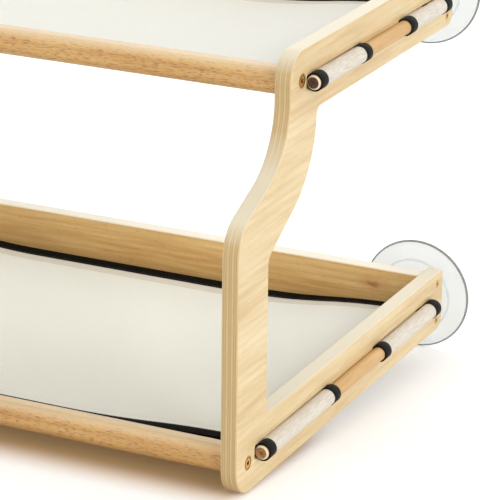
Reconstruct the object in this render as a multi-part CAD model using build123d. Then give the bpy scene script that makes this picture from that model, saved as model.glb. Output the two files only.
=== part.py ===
from build123d import *
import math
import os

"""Two-tier window hammock for a cat.

Two plywood side plates carry two slings between them. Suction cups behind the back boards
hold the frame to a window. Lengths are millimetres. X runs across the width, +Y points to
the window and Z is up. The origin lies at the middle of the whole object's footprint, at the
height of the lower suction cups' lowest point.
"""

# Side plates
plate_depth = 428.0
plate_thickness = 15.0
plate_gap = 550.0
arris_radius = 2.0
lower_arm_height = 55.0
upper_arm_height = 55.0
tier_rise = 285.0
upper_setback_depth = 90.0
lower_strut_width = 54.0
upper_strut_width = 51.0
toe_radius = 24.0
brow_radius = 24.0
heel_radius = 10.0
tail_radius = 3.0
lower_crook_radius = 10.0
upper_crook_radius = 6.0
front_bend_height = 200.0
front_bend_end_height = 303.0
front_bend_radius = 32.0
front_return_radius = 65.0
rear_bend_height = 180.0
rear_bend_radius = 10.0
rear_return_radius = 84.0

# Front rails
rail_side = 22.0
rail_edge_radius = 8.0
rail_inset = 9.0
lower_rail_height = 27.7
upper_rail_height = 28.8

# Back boards
board_height = 51.0
board_thickness = 15.0
board_edge_radius = 2.0
board_inset = 6.0
lower_board_height = 27.5
upper_board_height = 27.5

# Flat-headed connector bolts and their threaded inserts in the rail ends
bolt_head_radius = 6.0
bolt_head_thickness = 2.4
bolt_shank_radius = 3.0
bolt_length = 28.0
bolt_socket_flats = 4.0
bolt_socket_depth = 1.6
bolt_rim_width = 0.9
bolt_groove_width = 0.9
bolt_rim_depth = 0.35
lower_bolt_height = 26.0
upper_bolt_height = 30.0
insert_radius = 4.5
insert_length = 16.0
hole_clearance = 0.2
thread_clearance = 0.05

# Screws through the plates into the ends of the back boards
screw_head_radius = 3.4
screw_head_thickness = 2.0
screw_shank_radius = 1.9
screw_length = 36.0
screw_tip_length = 4.0
screw_socket_flats = 2.5
screw_socket_depth = 1.0
screw_spacing = 35.0

# Dowels that lock the slings outside the plates
dowel_radius = 6.0
dowel_chamfer = 1.3
lower_dowel_height = 29.5
upper_dowel_height = 26.0
dowel_front_overhang = 2.0
dowel_rear_overhang = 3.0

# Slings: mesh cloth with bound edges and two pockets on each side
cloth_thickness = 0.8
cloth_clearance = 0.25
tape_thickness = 0.45
tape_seat = 0.3
tape_width = 11.0
tape_lip = 0.6
notch_depth = 9.0
hem_width = 22.0
front_edge_lift = 4.2
rear_edge_drop = 3.5
front_sag = 6.5
front_hem_sag = 7.0
middle_sag = 15.0
rear_hem_sag = 13.2
rear_sag = 9.2
edge_sag_length = 160.0
middle_sag_length = 180.0
lower_front_pocket_start = 37.5
lower_front_pocket_length = 136.0
lower_rear_pocket_length = 125.0
lower_rear_pocket_inset = 32.0
upper_front_pocket_start = 34.0
upper_front_pocket_length = 98.5
upper_rear_pocket_length = 88.5
upper_rear_pocket_inset = 32.0

# Slots that the pockets pass through
slot_height = 11.8
slot_margin = 1.6
slot_corner_radius = 2.5
slot_lip_radius = 2.0

# Suction cups, seen from the window: rim, bell, shoulder and neck
cup_radius = 51.0
cup_standoff = 17.0
cup_inset = 32.0
cup_rim_width = 4.0
cup_rim_thickness = 1.2
cup_wall = 1.8
cup_bell_bulge = 0.45
cup_shoulder_radius = 34.0
cup_shoulder_height = 6.0
cup_shoulder_step = 1.4
cup_crown_radius = 13.0
cup_crown_height = 10.5
neck_radius = 9.0
neck_fillet = 3.0
neck_fillet_corner = 1.0
lower_cup_height = 21.0
upper_cup_height = 25.0

# Studs, washers and thumb nuts that clamp the cups to the boards
stud_radius = 3.0
stud_head_radius = 6.0
stud_head_thickness = 2.0
stud_end_length = 1.0
stud_chamfer = 0.5
washer_radius = 8.0
washer_thickness = 1.2
nut_radius = 9.5
nut_thickness = 6.0
nut_collar_radius = 6.0
nut_collar_length = 1.5
nut_flute_count = 8
nut_flute_radius = 2.4
nut_flute_depth = 1.1
nut_edge_radius = 0.8
nut_gap = 0.1

# One overrun serves every cut that passes through a face
overrun = 1.0

# Places worked out from the sizes above
outer_face = plate_gap / 2 + plate_thickness
inner_face = plate_gap / 2
overall_depth = plate_depth + cup_standoff
window_plane = overall_depth / 2
plate_back = window_plane - cup_standoff
plate_front = plate_back - plate_depth
plate_base = cup_radius - lower_cup_height
upper_base = plate_base + tier_rise
plate_top = upper_base + upper_arm_height
upper_front = plate_front + upper_setback_depth
board_back = plate_back - board_inset
board_middle = board_back - board_thickness / 2
board_face = board_back - board_thickness
sleeve_bore = dowel_radius + cloth_clearance
sleeve_radius = sleeve_bore + cloth_thickness
band_radius = sleeve_radius + tape_seat + tape_thickness
lip_reach = band_radius + cloth_clearance + slot_lip_radius
lip_height = slot_height / 2 + slot_lip_radius
dowel_reach = math.sqrt(max(0, lip_reach ** 2 - lip_height ** 2)) - slot_lip_radius
dowel_middle = outer_face + dowel_reach
cup_middle = outer_face - cup_inset
sides = {"right": 1, "left": -1}


class Tier:
    """One tier's places: heights above its base and pockets from the plate's front and back."""

    def __init__(self, name, base, front, rail, board, bolt, dowel, cup, front_pocket, rear_pocket):
        self.name = name
        self.base = base
        self.front = front
        self.rail_z = base + rail
        self.board_z = base + board
        self.bolt_z = base + bolt
        self.dowel_z = base + dowel
        self.cup_z = base + cup
        start, front_length = front_pocket
        inset, rear_length = rear_pocket
        self.sling_front = front + start
        self.notch_front = self.sling_front + front_length
        self.sling_back = plate_back - inset
        self.notch_back = self.sling_back - rear_length
        self.pockets = [(self.sling_front, self.notch_front), (self.notch_back, self.sling_back)]
        self.rail_y = front + rail_inset + rail_side / 2
        self.dowel_front = self.sling_front - tape_lip - dowel_front_overhang
        self.dowel_back = self.sling_back + tape_lip + dowel_rear_overhang


tiers = [
    Tier("lower", plate_base, plate_front, lower_rail_height, lower_board_height,
         lower_bolt_height, lower_dowel_height, lower_cup_height,
         (lower_front_pocket_start, lower_front_pocket_length),
         (lower_rear_pocket_inset, lower_rear_pocket_length)),
    Tier("upper", upper_base, upper_front, upper_rail_height, upper_board_height,
         upper_bolt_height, upper_dowel_height, upper_cup_height,
         (upper_front_pocket_start, upper_front_pocket_length),
         (upper_rear_pocket_inset, upper_rear_pocket_length)),
]


def block(x_range, y_range, z_range):
    """A box given by its low and high limits."""
    size = [high - low for low, high in (x_range, y_range, z_range)]
    middle = [(high + low) / 2 for low, high in (x_range, y_range, z_range)]
    return Pos(*middle) * Box(*size)


def rod_x(x_start, x_end, y, z, radius):
    """A cylinder along X."""
    middle = Pos((x_start + x_end) / 2, y, z)
    return middle * Rot(0, 90, 0) * Cylinder(radius, abs(x_end - x_start))


def rod_y(x, y_start, y_end, z, radius):
    """A cylinder along Y."""
    middle = Pos(x, (y_start + y_end) / 2, z)
    return middle * Rot(90, 0, 0) * Cylinder(radius, abs(y_end - y_start))


def mirrored(shape):
    """The same shape on the other side of the middle plane."""
    return mirror(shape, about=Plane.YZ)


def s_bend(y_start, z_start, y_end, z_end, first_radius, second_radius):
    """The edges of an outline that rises, leans towards the window and rises again.

    Two arcs are joined by a straight run that touches both. Where the shift leaves no room
    for the run, the radii shrink together and the arcs meet.
    """
    shift = y_end - y_start
    rise = z_end - z_start
    room = (shift ** 2 + rise ** 2) / (2 * shift)
    fit = min(1, room / (first_radius + second_radius))
    first = first_radius * fit
    second = second_radius * fit
    total = first + second
    run = math.sqrt(max(0, (shift - total) ** 2 + rise ** 2 - total ** 2))
    lean = math.atan2(rise, shift - total) - math.atan2(total, run)

    def on_first(heading):
        return (y_start + first - first * math.sin(heading), z_start + first * math.cos(heading))

    def on_second(heading):
        return (y_end - second + second * math.sin(heading), z_end - second * math.cos(heading))

    upright = math.pi / 2
    halfway = (upright + lean) / 2
    leaving = on_first(lean)
    reaching = on_second(lean) if fit == 1 and run > 0 else leaving
    edges = [ThreePointArc((y_start, z_start), on_first(halfway), leaving),
             ThreePointArc(reaching, on_second(halfway), (y_end, z_end))]
    if reaching != leaving:
        edges.append(Line(leaving, reaching))
    return edges


def plate_face():
    """The outline of a side plate in the YZ plane, drawn as (y, z)."""
    front_foot = (plate_front, plate_base + front_bend_height)
    front_top = (upper_front, plate_base + front_bend_end_height)
    rear_foot = (plate_front + lower_strut_width, plate_base + rear_bend_height)
    rear_top = (upper_front + upper_strut_width, upper_base)
    arm_top = plate_base + lower_arm_height
    corners = {
        "toe": (plate_front, plate_base),
        "brow": (upper_front, plate_top),
        "upper_tail": (plate_back, plate_top),
        "upper_heel": (plate_back, upper_base),
        "upper_crook": rear_top,
        "lower_crook": (rear_foot[0], arm_top),
        "lower_tail": (plate_back, arm_top),
        "lower_heel": (plate_back, plate_base),
    }
    edges = s_bend(*front_foot, *front_top, front_bend_radius, front_return_radius)
    edges += s_bend(*rear_foot, *rear_top, rear_bend_radius, rear_return_radius)
    edges += [
        Line(corners["toe"], front_foot),
        Line(front_top, corners["brow"]),
        Line(corners["brow"], corners["upper_tail"]),
        Line(corners["upper_tail"], corners["upper_heel"]),
        Line(corners["upper_heel"], corners["upper_crook"]),
        Line(rear_foot, corners["lower_crook"]),
        Line(corners["lower_crook"], corners["lower_tail"]),
        Line(corners["lower_tail"], corners["lower_heel"]),
        Line(corners["lower_heel"], corners["toe"]),
    ]
    face = make_face(edges)
    radii = {
        "toe": toe_radius,
        "brow": brow_radius,
        "upper_tail": tail_radius,
        "upper_heel": heel_radius,
        "upper_crook": upper_crook_radius,
        "lower_crook": lower_crook_radius,
        "lower_tail": tail_radius,
        "lower_heel": heel_radius,
    }
    for name, radius in radii.items():
        y, z = corners[name]
        vertex = face.vertices().sort_by_distance(Vector(y, z, 0))[0]
        face = fillet(vertex, radius)
    return face


def slot_cuts(tier):
    """The two slots in a right-hand arm, one for each pocket, with whole wood between them."""
    notch_end = tape_lip + slot_corner_radius
    spans = [(tier.dowel_front - slot_margin, tier.notch_front + notch_end),
             (tier.notch_back - notch_end, tier.dowel_back + slot_margin)]
    z_range = (tier.dowel_z - slot_height / 2, tier.dowel_z + slot_height / 2)
    blocks = [block((inner_face - overrun, outer_face + overrun), span, z_range) for span in spans]
    return [fillet(cut.edges().filter_by(Axis.X), slot_corner_radius) for cut in blocks]


def screw_heights(tier):
    return [tier.board_z - screw_spacing / 2, tier.board_z + screw_spacing / 2]


def side_plate():
    """The right-hand plate: one sheet with rounded arrises, slots, dowel grooves and bolt holes."""
    plate = Plane.YZ.offset(inner_face) * extrude(plate_face(), plate_thickness)
    flat_faces = plate.faces().filter_by(Axis.X)
    plate = fillet(flat_faces.edges(), arris_radius)
    for tier in tiers:
        for cut in slot_cuts(tier):
            plate -= cut
    mouths = [face.inner_wires().edges() for face in plate.faces().filter_by(Axis.X)]
    plate = fillet([edge for edges in mouths for edge in edges], slot_lip_radius)
    for tier in tiers:
        plate -= rod_y(dowel_middle, tier.notch_front, tier.notch_back, tier.dowel_z,
                       dowel_radius + hole_clearance)
        y, z = tier.rail_y, tier.bolt_z
        plate -= rod_x(inner_face - overrun, outer_face + overrun, y, z, bolt_shank_radius + hole_clearance)
        plate -= rod_x(outer_face - bolt_head_thickness, outer_face + overrun, y, z,
                       bolt_head_radius + hole_clearance)
        for z in screw_heights(tier):
            plate -= rod_x(inner_face - overrun, outer_face + overrun, board_middle, z,
                           screw_shank_radius + hole_clearance)
            plate -= rod_x(outer_face - screw_head_thickness, outer_face + overrun, board_middle, z,
                           screw_head_radius + hole_clearance)
    return plate


def front_rail(tier):
    """A square bar with rounded edges and a blind bore for an insert in each end."""
    rail = Pos(0, tier.rail_y, tier.rail_z) * Box(plate_gap, rail_side, rail_side)
    rail = fillet(rail.edges().filter_by(Axis.X), rail_edge_radius)
    bolt_end = outer_face - bolt_length - overrun
    for side in sides.values():
        rail -= rod_x(side * (inner_face - insert_length), side * (inner_face + overrun),
                      tier.rail_y, tier.bolt_z, insert_radius)
        rail -= rod_x(side * bolt_end, side * inner_face, tier.rail_y, tier.bolt_z,
                      bolt_shank_radius + hole_clearance)
    return rail


def back_board(tier):
    """A board on edge with holes for the cup studs and for the screws in its ends."""
    board = Pos(0, board_middle, tier.board_z) * Box(plate_gap, board_thickness, board_height)
    board = fillet(board.edges().filter_by(Axis.X), board_edge_radius)
    for side in sides.values():
        board -= rod_y(side * cup_middle, board_face - overrun, board_back + overrun, tier.cup_z,
                       stud_radius + hole_clearance)
        for z in screw_heights(tier):
            board -= rod_x(side * (outer_face - screw_length - overrun), side * (inner_face + overrun),
                           board_middle, z, screw_shank_radius + thread_clearance)
    return board


def hex_socket(flats, depth):
    """A hexagonal socket that opens at +X, with its mouth at the origin."""
    profile = RegularPolygon(flats / 2, 6, major_radius=False)
    return Rot(0, -90, 0) * extrude(profile, depth)


def connector_bolt(y, z):
    """A right-hand bolt: thin flat head with a turned rim, hexagonal socket and shank."""
    head_back = outer_face - bolt_head_thickness
    bolt = rod_x(head_back, outer_face, y, z, bolt_head_radius)
    groove = rod_x(outer_face - bolt_rim_depth, outer_face + overrun, y, z,
                   bolt_head_radius - bolt_rim_width)
    raised = rod_x(outer_face - bolt_rim_depth, outer_face, y, z,
                   bolt_head_radius - bolt_rim_width - bolt_groove_width)
    bolt = bolt - groove + raised
    shank_end = outer_face - bolt_length
    bolt += rod_x(shank_end, head_back, y, z, bolt_shank_radius)
    bolt -= Pos(outer_face, y, z) * hex_socket(bolt_socket_flats, bolt_socket_depth)
    return bolt


def threaded_insert(y, z):
    """A right-hand sleeve in the end of a rail."""
    sleeve = rod_x(inner_face - insert_length, inner_face, y, z, insert_radius)
    bore = rod_x(inner_face - insert_length - overrun, inner_face + overrun, y, z,
                 bolt_shank_radius + thread_clearance)
    return sleeve - bore


def board_screw(z):
    """A right-hand screw into the end of a back board."""
    head_back = outer_face - screw_head_thickness
    tip = outer_face - screw_length
    screw = rod_x(head_back, outer_face, board_middle, z, screw_head_radius)
    screw += rod_x(tip + screw_tip_length, head_back, board_middle, z, screw_shank_radius)
    point = Cone(screw_shank_radius, 0, screw_tip_length)
    screw += Pos(tip + screw_tip_length / 2, board_middle, z) * Rot(0, -90, 0) * point
    screw -= Pos(outer_face, board_middle, z) * hex_socket(screw_socket_flats, screw_socket_depth)
    return screw


def both_sides(shapes):
    """A group of right-hand solids and their mirror images."""
    shapes = list(shapes)
    return Compound(children=shapes + [mirrored(shape) for shape in shapes])


def dowel(tier):
    """A right-hand dowel with chamfered ends, lying in the mouths of the slots and a groove."""
    rod = rod_y(dowel_middle, tier.dowel_front, tier.dowel_back, tier.dowel_z, dowel_radius)
    ends = rod.edges().filter_by(GeomType.CIRCLE)
    return chamfer(ends, dowel_chamfer)


def sag_curve(edge_z, sag, length, offset):
    """Half of a sagging cloth line, from the plate's inner face to where it runs level.

    Two equal arcs drop the line by the sag over the length. The offset moves it along its
    own normal.
    """
    radius = (length ** 2 + sag ** 2) / (4 * sag)
    turn = math.asin(length / (2 * radius))
    points = []
    for part in (0, 1, 2):
        angle = turn * part / 2
        points.append((inner_face - (radius + offset) * math.sin(angle),
                       edge_z - radius + (radius + offset) * math.cos(angle)))
    low = edge_z - sag
    for part in (1, 0):
        angle = turn * part / 2
        points.append((inner_face - length + (radius - offset) * math.sin(angle),
                       low + radius - (radius - offset) * math.cos(angle)))
    return points


def cloth_section(y, edge_z, sag, length, thickness, reach):
    """The closed profile of the cloth across the frame at one place along Y."""
    top = sag_curve(edge_z, sag, length, thickness / 2)
    bottom = sag_curve(edge_z, sag, length, -thickness / 2)

    def place(point, side=1):
        return (side * point[0], y, point[1])

    def chain(points):
        left = [place(point, -1) for point in points]
        right = [place(point) for point in points]
        out_left = (-reach, y, points[0][1])
        out_right = (reach, y, points[0][1])
        return [Line(out_left, left[0]), ThreePointArc(*left[0:3]), ThreePointArc(*left[2:5]),
                Line(left[4], right[4]), ThreePointArc(*reversed(right[2:5])),
                ThreePointArc(*reversed(right[0:3])), Line(right[0], out_right)]

    ends = [Line((side * reach, y, top[0][1]), (side * reach, y, bottom[0][1])) for side in sides.values()]
    return make_face(chain(top) + chain(bottom) + ends)


def cloth_sheet(tier, thickness, front, back):
    """The sagging sheet from one side's dowels to the other's. Its bound edges sag least."""
    middle = (tier.sling_front + tier.sling_back) / 2
    hem_length = (edge_sag_length + middle_sag_length) / 2
    stations = [
        (front, front_sag, edge_sag_length),
        (tier.sling_front + hem_width, front_hem_sag, hem_length),
        (middle, middle_sag, middle_sag_length),
        (tier.sling_back - hem_width, rear_hem_sag, hem_length),
        (back, rear_sag, edge_sag_length),
    ]
    fall = (front_edge_lift + rear_edge_drop) / (tier.sling_back - tier.sling_front)
    sections = []
    for y, sag, length in stations:
        edge_z = tier.dowel_z + front_edge_lift - fall * (y - tier.sling_front)
        sections.append(cloth_section(y, edge_z, sag, length, thickness, dowel_middle))
    return loft(sections)


def pocket_rods(tier, radius, spans):
    """Cylinders round both dowels of a tier, over the given stretches along Y."""
    return [rod_y(side * dowel_middle, start, end, tier.dowel_z, radius)
            for side in sides.values() for start, end in spans]


def dowel_room(tier):
    """The bore that the pockets leave for both dowels of a tier."""
    return pocket_rods(tier, sleeve_bore, [(tier.dowel_front - overrun, tier.dowel_back + overrun)])


def side_block(tier, side, x_start, y_range):
    """A block on one side of the sling, from X out past the dowel, tall enough for any fold."""
    tall = middle_sag + slot_height
    limits = sorted((side * x_start, side * (dowel_middle + band_radius + overrun)))
    return block(limits, y_range, (tier.dowel_z - tall, tier.dowel_z + tall))


def cloth_envelope(tier, seat):
    """The mesh panel with its pockets closed, grown by the seat that the tape leaves."""
    cloth = cloth_sheet(tier, cloth_thickness + 2 * seat, tier.sling_front - seat, tier.sling_back + seat)
    notch = (tier.notch_front + seat, tier.notch_back - seat)
    for side in sides.values():
        cloth -= side_block(tier, side, inner_face - notch_depth + seat, notch)
    spans = [(start - seat, end + seat) for start, end in tier.pockets]
    for rod in pocket_rods(tier, sleeve_radius + seat, spans):
        cloth += rod
    return cloth


def sling_cloth(tier):
    """The mesh panel with its four pockets as one cloth."""
    cloth = cloth_envelope(tier, 0)
    for rod in dowel_room(tier):
        cloth -= rod
    return cloth


def taped_sheet(tier):
    """The sheet with the tape's thickness on both sides, a lip longer at each end."""
    thickness = cloth_thickness + 2 * (tape_seat + tape_thickness)
    return cloth_sheet(tier, thickness, tier.sling_front - tape_lip, tier.sling_back + tape_lip)


def across(tier, y_range):
    """A block over the whole width of a sling."""
    wide = dowel_middle + band_radius + overrun
    tall = middle_sag + slot_height
    return block((-wide, wide), y_range, (tier.dowel_z - tall, tier.dowel_z + tall))


def edge_binding(tier, y_range, cloth):
    """Tape along the front or rear edge, carried round both dowels as bands."""
    tape = taped_sheet(tier) & across(tier, y_range)
    for rod in pocket_rods(tier, band_radius, [y_range]):
        tape += rod
    for rod in dowel_room(tier):
        tape -= rod
    return tape - cloth


def notch_binding(tier, side, cloth):
    """Tape round the cut-out between a side's two pockets, with a band on each pocket."""
    bands = [(tier.notch_front - tape_width, tier.notch_front + tape_lip),
             (tier.notch_back - tape_lip, tier.notch_back + tape_width)]
    inner_edge = inner_face - notch_depth
    tape = taped_sheet(tier) & side_block(tier, side, inner_edge - tape_width, (bands[0][0], bands[1][1]))
    tape -= side_block(tier, side, inner_edge + tape_lip, (bands[0][1], bands[1][0]))
    for start, end in bands:
        tape += rod_y(side * dowel_middle, start, end, tier.dowel_z, band_radius)
    tape -= rod_y(side * dowel_middle, tier.dowel_front - overrun, tier.dowel_back + overrun,
                  tier.dowel_z, sleeve_bore)
    return tape - cloth


def revolved(points, x, z):
    """A solid of revolution about the cup's axis, from (radius, distance from the window)."""
    face = make_face(Polyline(*points, close=True))
    solid = revolve(face, Axis.Y)
    return Pos(x, window_plane, z) * solid


def cup_profile():
    """Half of a cup's section: bell outside, shallow hollow inside, neck up to the board."""
    rim = cup_radius
    step = cup_shoulder_height + cup_shoulder_step
    outside = [
        (rim, 0),
        (rim, -cup_rim_thickness),
        ((rim + cup_shoulder_radius) / 2, -(cup_rim_thickness + cup_shoulder_height) / 2 + cup_bell_bulge),
        (cup_shoulder_radius + cup_shoulder_step, -cup_shoulder_height),
        (cup_shoulder_radius, -step),
        (cup_crown_radius + neck_fillet, -cup_crown_height),
        (neck_radius + neck_fillet_corner, -cup_crown_height - neck_fillet_corner),
        (neck_radius, -cup_crown_height - neck_fillet),
        (neck_radius, -cup_standoff - board_inset),
        (0, -cup_standoff - board_inset),
    ]
    inside = [
        (0, -step + cup_wall),
        (cup_crown_radius, -step + cup_wall),
        (cup_shoulder_radius, -cup_shoulder_height + cup_wall),
        (rim - cup_rim_width, 0),
    ]
    return outside + inside


def stud_parts(tier, x):
    """The stud's head in the neck and its shank through the board, washer and nut."""
    head_back = window_plane - cup_crown_height - stud_head_thickness
    end = board_face - washer_thickness - nut_gap - nut_collar_length - nut_thickness - stud_end_length
    head = rod_y(x, head_back, head_back + stud_head_thickness, tier.cup_z, stud_head_radius)
    shank = rod_y(x, end, head_back, tier.cup_z, stud_radius)
    tip = shank.edges().filter_by(GeomType.CIRCLE).sort_by(Axis.Y)[0]
    return head, chamfer(tip, stud_chamfer)


def cup_stud(tier):
    head, shank = stud_parts(tier, cup_middle)
    return head + shank


def suction_cup(tier):
    """A right-hand clear cup, moulded round the head of its stud."""
    cup = revolved(cup_profile(), cup_middle, tier.cup_z)
    for piece in stud_parts(tier, cup_middle):
        cup -= piece
    return cup


def stud_washer(tier):
    """A right-hand washer on the front face of a back board."""
    y_range = (board_face - washer_thickness, board_face)
    washer = rod_y(cup_middle, *y_range, tier.cup_z, washer_radius)
    return washer - rod_y(cup_middle, y_range[0] - overrun, y_range[1] + overrun, tier.cup_z,
                          stud_radius + hole_clearance)


def thumb_nut(tier):
    """A right-hand fluted nut with a collar towards the washer."""
    back = board_face - washer_thickness - nut_gap
    grip_back = back - nut_collar_length
    grip_front = grip_back - nut_thickness
    grip = rod_y(cup_middle, grip_front, grip_back, tier.cup_z, nut_radius)
    grip = fillet(grip.edges().filter_by(GeomType.CIRCLE), nut_edge_radius)
    for index in range(nut_flute_count):
        angle = 2 * math.pi * index / nut_flute_count
        reach = nut_radius + nut_flute_radius - nut_flute_depth
        grip -= rod_y(cup_middle + reach * math.cos(angle), grip_front - overrun, grip_back + overrun,
                      tier.cup_z + reach * math.sin(angle), nut_flute_radius)
    nut = grip + rod_y(cup_middle, grip_back, back, tier.cup_z, nut_collar_radius)
    return nut - rod_y(cup_middle, grip_front - overrun, back + overrun, tier.cup_z,
                       stud_radius + thread_clearance)


def build_nodes():
    """Every node's name with its shape."""
    nodes = {}
    plate = side_plate()
    nodes["side_plate_right"] = plate
    nodes["side_plate_left"] = mirrored(plate)
    for tier in tiers:
        name = tier.name
        nodes[f"front_rail_{name}"] = front_rail(tier)
        nodes[f"back_board_{name}"] = back_board(tier)
        nodes[f"rail_bolts_{name}"] = both_sides([connector_bolt(tier.rail_y, tier.bolt_z)])
        nodes[f"rail_inserts_{name}"] = both_sides([threaded_insert(tier.rail_y, tier.bolt_z)])
        nodes[f"board_screws_{name}"] = both_sides([board_screw(z) for z in screw_heights(tier)])
        cloth = cloth_envelope(tier, tape_seat)
        nodes[f"sling_{name}"] = sling_cloth(tier)
        front_range = (tier.sling_front - tape_lip, tier.sling_front + tape_width)
        rear_range = (tier.sling_back - tape_width, tier.sling_back + tape_lip)
        nodes[f"front_binding_{name}"] = edge_binding(tier, front_range, cloth)
        nodes[f"rear_binding_{name}"] = edge_binding(tier, rear_range, cloth)
        nodes[f"cup_studs_{name}"] = both_sides([cup_stud(tier)])
        nodes[f"cup_washers_{name}"] = both_sides([stud_washer(tier)])
        right_pieces = {"dowel": dowel(tier), "suction_cup": suction_cup(tier), "thumb_nut": thumb_nut(tier)}
        for piece, shape in right_pieces.items():
            nodes[f"{piece}_{name}_right"] = shape
            nodes[f"{piece}_{name}_left"] = mirrored(shape)
        for side, sign in sides.items():
            nodes[f"notch_binding_{name}_{side}"] = notch_binding(tier, sign, cloth)
    return nodes


os.makedirs("parts", exist_ok=True)
for node_name, node_shape in build_nodes().items():
    export_step(node_shape, f"parts/{node_name}.step")
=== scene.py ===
"""Looks of the two-tier window hammock for a cat.

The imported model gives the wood, metal and moving parts. This script dresses them, makes the
mesh slings, their bindings and seams and the clear suction cups, and sets the stage, the lamps
and the camera. Everything is in metres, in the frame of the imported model.
"""
import math

import bpy
from mathutils import Matrix, Vector


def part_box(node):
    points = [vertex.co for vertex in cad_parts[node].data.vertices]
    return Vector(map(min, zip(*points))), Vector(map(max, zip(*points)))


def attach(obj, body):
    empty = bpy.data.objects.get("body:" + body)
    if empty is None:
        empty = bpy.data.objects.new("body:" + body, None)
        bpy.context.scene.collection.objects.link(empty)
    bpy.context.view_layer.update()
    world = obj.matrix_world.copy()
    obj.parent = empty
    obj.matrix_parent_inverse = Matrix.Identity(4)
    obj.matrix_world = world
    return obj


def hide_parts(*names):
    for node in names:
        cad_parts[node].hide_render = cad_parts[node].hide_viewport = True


MM = 0.001
X, Y, Z = range(3)

# Cloth and tape
CLOTH = 0.8 * MM
SLEEVE_GAP = 0.25 * MM
LAYER_GAP = 0.3 * MM
TAPE = 0.45 * MM
TAPE_WIDTH = 11.0 * MM
TAPE_LIP = 0.6 * MM
TAPE_SEAT = 0.12 * MM
HEM_WIDTH = 22.0 * MM
HEM_RISE = 0.4 * MM
HEM_SLOPE = 1.0 * MM
RETURN_LENGTH = 24.0 * MM
LAP_SLOPE = 2.0 * MM
FLARE_START = 7.0 * MM
BAND_MARGIN = 1.0 * MM

# How the panel lies. The sags are those of the front edge, front hem, middle, rear hem and rear
# edge, and each takes a run in from the plates to reach its full depth
FRONT_LIFT = 4.2 * MM
REAR_DROP = 3.5 * MM
EDGE_RUN = 160.0 * MM
MIDDLE_RUN = 180.0 * MM
SAGS = (6.5 * MM, 7.0 * MM, 15.0 * MM, 13.2 * MM, 9.2 * MM)

# Fineness of the meshes, and the distance within which the cloth's strips are joined
ROW_STEP = 3.0 * MM
COLUMN_STEP = 4.0 * MM
LOOP_STEPS = 26
FOLD_STEPS = 8
BAND_TURNS = 72
BAND_ROUNDING = TAPE * 0.7
CLOTH_WELD = MM / 20

# Faint pulls in the cloth that fan out from the ends of the pockets
PULL_HEIGHT = 0.9 * MM
PULL_REACH = 90.0 * MM
PULL_WAVE = 9.0 * MM
PULL_SPREAD = 26.0 * MM
PULL_LEAN = 0.25
PULL_FADE = 2.2

# Weaves and ribs: pitch, and slant in degrees
CLOTH_WEAVE = (2.1 * MM, 38)
CLOTH_RIB = (2.4 * MM, -47)
TAPE_WEAVE = (1.1 * MM, 45)
BAND_RIB = 2.2 * MM

# Where the rib of the cloth, whose darker colour also paints shade, begins to show and where it is
# strongest, along Y and |X|
RIB_AND_SHADE_FRONT = (0.0, -160.0 * MM)
RIB_AND_SHADE_SIDE = (240.0 * MM, 40.0 * MM)

# Stitches
STITCH_LENGTH = 2.6 * MM
STITCH_PITCH = 3.6 * MM
STITCH_WIDTH = 0.5 * MM
STITCH_RISE = 0.25 * MM
SEAM_MARGIN = 1.6 * MM
SEAM_INSET = 2.0 * MM
SEAM_END_GAP = 1.0 * MM

# Stations of a stitch: shares of its length, of its width and of its rise
STITCH_SHARES = (
    (-0.5, 0.35, -0.6), (-0.3, 0.9, 0.6), (0.0, 1.0, 1.0), (0.3, 0.9, 0.6), (0.5, 0.35, -0.6))

# Knot on the lower back board, at X and Z
KNOT_PLACE = (230.0 * MM, 68.0 * MM)
KNOT_SIZE = 9.0 * MM
KNOT_STRETCH = 2.4

# How streaks and pores are drawn out along the grain, as a share of their width
STREAK_STRETCH = 0.07
PORE_STRETCH = 0.16

# Layers of the plywood, and the share of its thickness in which a layer fades to the glue
PLIES = 7
GLUE_SHARE = 0.03

# Outer and inner radius of the dark heart in a dowel's end grain
DOWEL_HEART = (2.2 * MM, 1.2 * MM)

# A cup: its outer rim, painted grey as shade, its moulded step, drawn as a grey line of painted
# shade, as insets from the rim, and its bevelled neck
CUP_RIM = 1.5 * MM
CUP_STEP = (15.8 * MM, 17.8 * MM)
CUP_STEP_HEIGHT = 6.0 * MM
CUP_NECK = 9.0 * MM
CUP_BEVEL = 0.6 * MM
CUP_TURNS = 96
CUP_WELD = MM / 100

# Camera, as fitted to the plate's edges in the photograph: millimetres for the sensor and the
# lens, degrees, metres for the depth
PICTURE = 500
SENSOR = 36.0
LENS = 202.8
AZIMUTH = 25.37
ELEVATION = 19.83
ROLL = 0.70
DEPTH = 2.205
CORNER_PIXEL = (236.6, 502.9)
NEAR_LIMIT = 0.1

# The floor's reach and place under the plates' rounded front feet
FLOOR_HALF = 6.0
FLOOR_DROP = 0.4 * MM
FOOT_RADIUS = 15.0 * MM

# The floor's colour and glow, white, and brown in the painted shadow under the front rail
FLOOR_GLOW = 0.25
FLOOR_WHITE = (0.92, 0.92, 0.905, 1)
FLOOR_PAINTED_SHADOW = (0.60, 0.40, 0.20, 1)
GLOW_WHITE = (1, 1, 1, 1)
GLOW_PAINTED_SHADOW = (0.43, 0.285, 0.143, 1)

# Where the painted shadow fades in and is full: outwards from the plates' sides, back from their
# front
SHADOW_SIDE = (5.0 * MM, -15.0 * MM)
SHADOW_FRONT = (-30.0 * MM, 30.0 * MM)
SHADOW_BACK = (200.0 * MM, 120.0 * MM)

# Lamps: heading of the light, strength, and spread in degrees
LAMPS = {
    "key": ((-0.85, 0.3, -0.42), 1.7, 45),
    "fill": ((0.1, 0.9, -0.4), 0.75, 60),
    "back": ((0.1, -0.8, -0.55), 0.8, 60),
    "left": ((0.8, -0.1, -0.5), 0.6, 60),
}

# Level at which the white surroundings light the object
WORLD_LEVEL = 0.46

# Sockets of a colour mix
MIX_FACTOR, MIX_FIRST, MIX_SECOND, MIX_RESULT = 0, 6, 7, 2

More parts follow.
